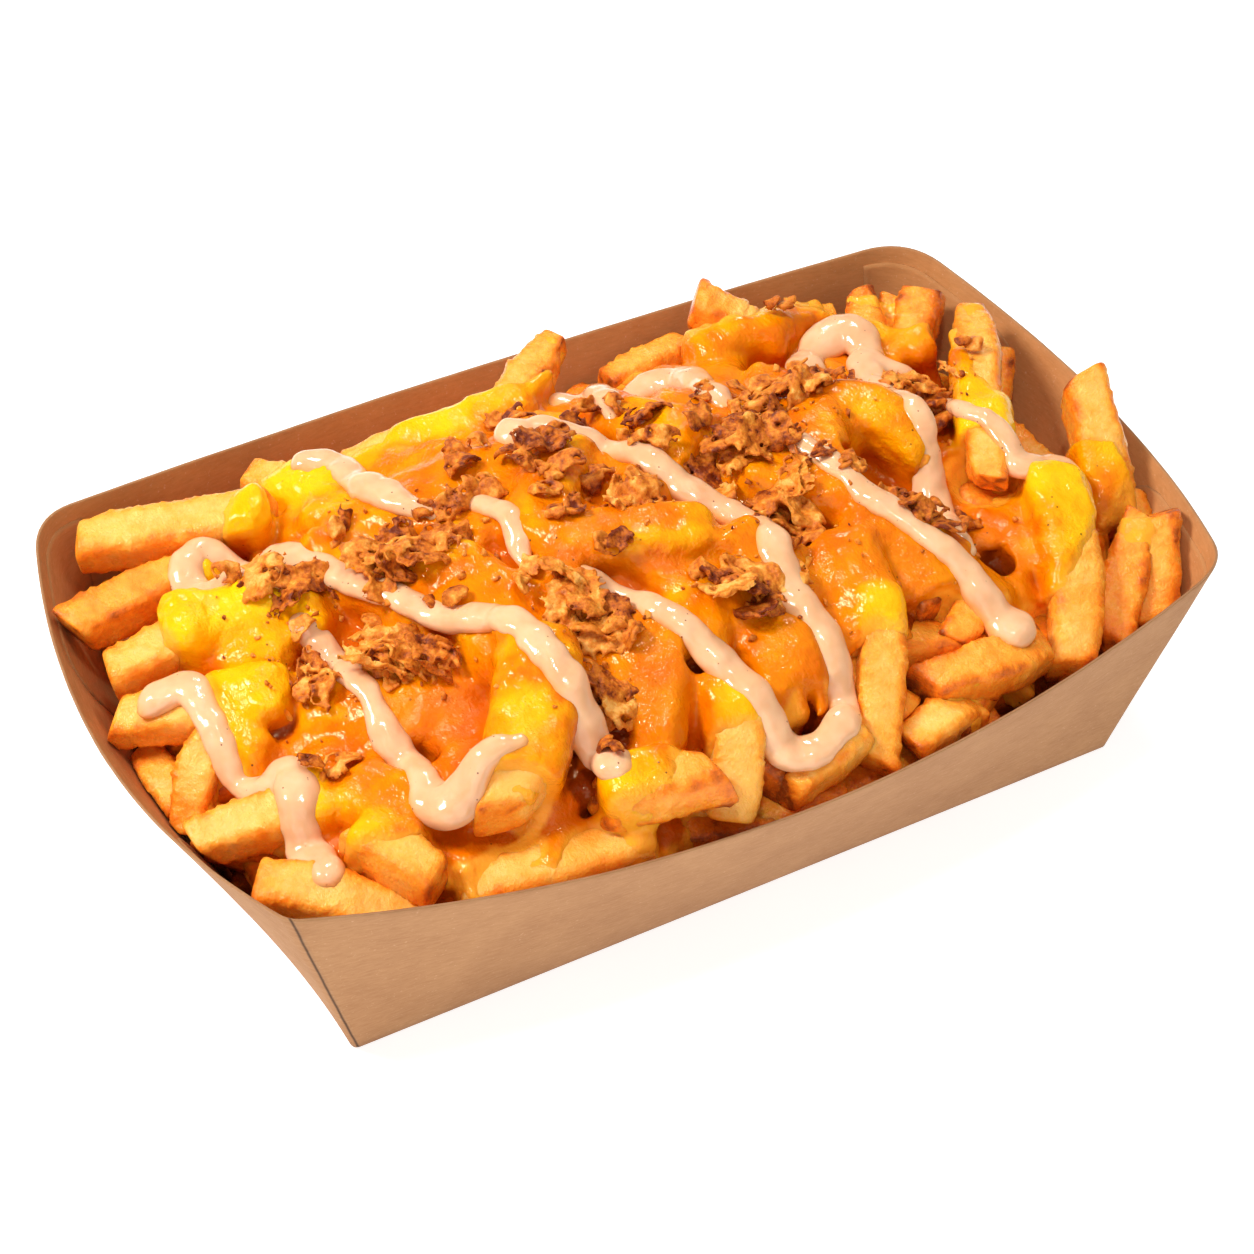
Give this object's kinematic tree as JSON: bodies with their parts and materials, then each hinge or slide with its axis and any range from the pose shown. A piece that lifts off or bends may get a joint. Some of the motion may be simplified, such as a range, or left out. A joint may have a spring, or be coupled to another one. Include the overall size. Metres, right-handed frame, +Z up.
{
  "type": "loaded fries",
  "caption": "Loaded fries with cheese sauce, creamy drizzle and crispy fried onions, heaped in a folded kraft paperboard tray.",
  "frame": {"origin": "centre of the tray's flat underside, on the table", "axes": "+X along the tray's long side, +Y to its back, +Z up"},
  "size_m": [0.2225, 0.138, 0.0724],
  "materials": {
    "kraft_board": "matt uncoated brown kraft board",
    "fried_potato": "golden fried potato with a thin film of oil",
    "cheese_sauce": "glossy melted cheese sauce with a creamy pink-beige drizzle",
    "fried_onion": "crisp brown fried onion"
  },
  "bodies": {
    "root": {"tray": "kraft_board", "fries": "fried_potato", "cheese_sauce": "cheese_sauce", "onion_1": "fried_onion", "onion_2": "fried_onion", "onion_3": "fried_onion", "onion_4": "fried_onion", "onion_5": "fried_onion", "onion_6": "fried_onion", "onion_7": "fried_onion", "onion_8": "fried_onion", "onion_9": "fried_onion", "onion_10": "fried_onion", "onion_11": "fried_onion", "onion_12": "fried_onion", "onion_13": "fried_onion"}
  },
  "joints": []
}
